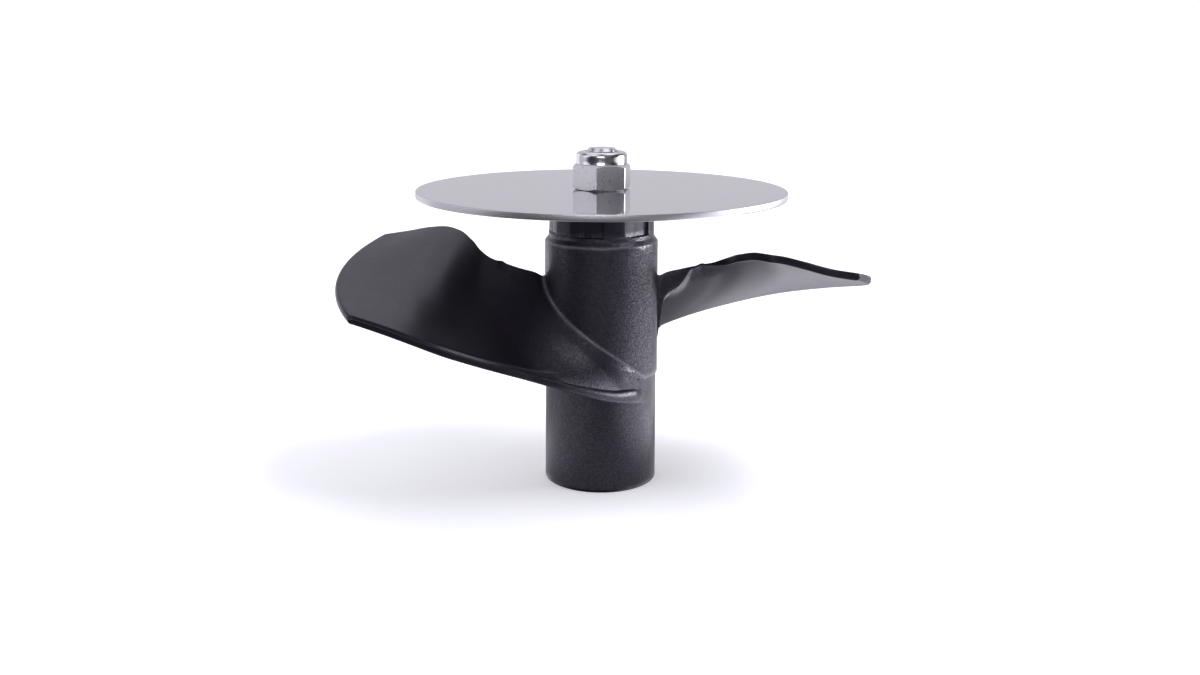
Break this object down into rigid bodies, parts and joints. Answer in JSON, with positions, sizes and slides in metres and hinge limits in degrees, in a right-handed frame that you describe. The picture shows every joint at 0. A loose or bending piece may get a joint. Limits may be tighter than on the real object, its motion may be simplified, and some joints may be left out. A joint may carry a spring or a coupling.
{
  "type": "aerator propeller assembly",
  "caption": "Blades and hub in one black moulding, with a thin steel splash disc clamped on the neck by a locking nut on a hexagon bolt; spins on a pond aerator's motor shaft.",
  "frame": {"origin": "centre of the hub's lower rim, on the axis of rotation", "axes": "+Z along the axis of rotation towards the nut; +X towards one blade's tip"},
  "size_m": [0.1298, 0.0888, 0.0825],
  "materials": {
    "moulded_black": "fine spark-eroded grain on the hub, satin on the blades",
    "disc_steel": "bright rolled sheet",
    "fastener_steel": "bright turned and formed stainless",
    "nylon_insert": "plain moulded nylon"
  },
  "bodies": {
    "root": {"propeller": "moulded_black", "splash_disc": "disc_steel", "lock_nut": "fastener_steel", "nylon_ring": "nylon_insert", "bolt": "fastener_steel"}
  },
  "joints": []
}
